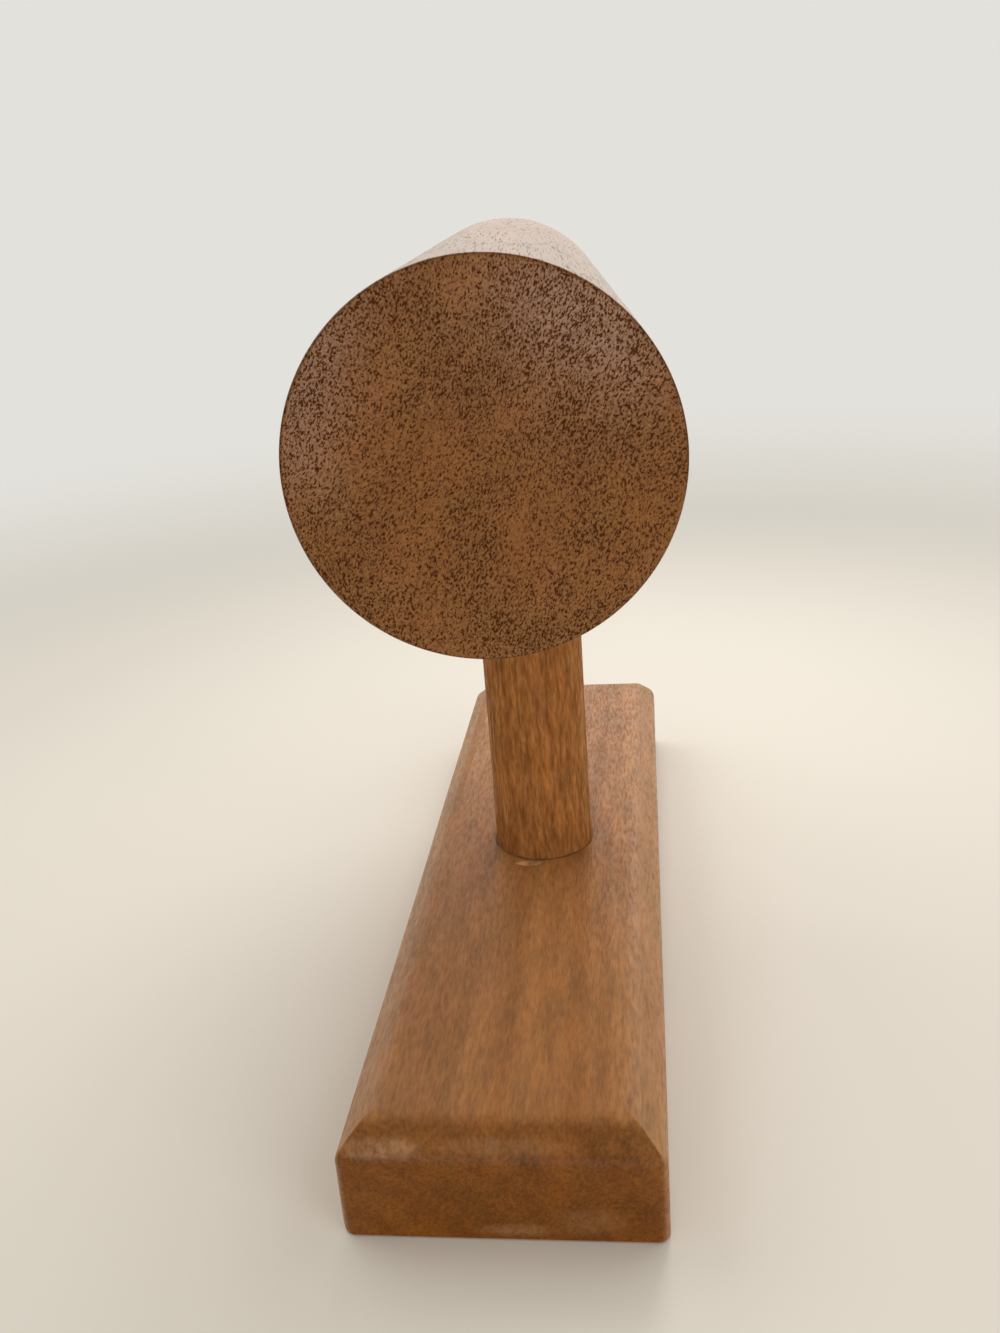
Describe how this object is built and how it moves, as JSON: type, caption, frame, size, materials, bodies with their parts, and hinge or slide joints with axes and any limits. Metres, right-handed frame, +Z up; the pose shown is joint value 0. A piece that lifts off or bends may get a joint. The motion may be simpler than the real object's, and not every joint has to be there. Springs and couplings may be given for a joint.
{
  "type": "t-bar jewelry display",
  "caption": "Free-standing wooden T-bar display: a round bar on a dowel post above a rectangular base with bevelled top edges, for hanging bracelets and watches.",
  "frame": {"origin": "middle of the underside of the base, on the surface that the display stands on", "axes": "+X along the length of the base, towards the end that faces the picture's camera; +Y across the base, to the right in the picture; +Z up along the post"},
  "size_m": [0.18, 0.063, 0.1417],
  "materials": {
    "base_wood": "satin lacquer",
    "post_wood": "satin lacquer",
    "bar_wood": "semi-gloss lacquer"
  },
  "bodies": {
    "root": {"base_board": "base_wood", "post": "post_wood", "bar": "bar_wood"}
  },
  "joints": []
}
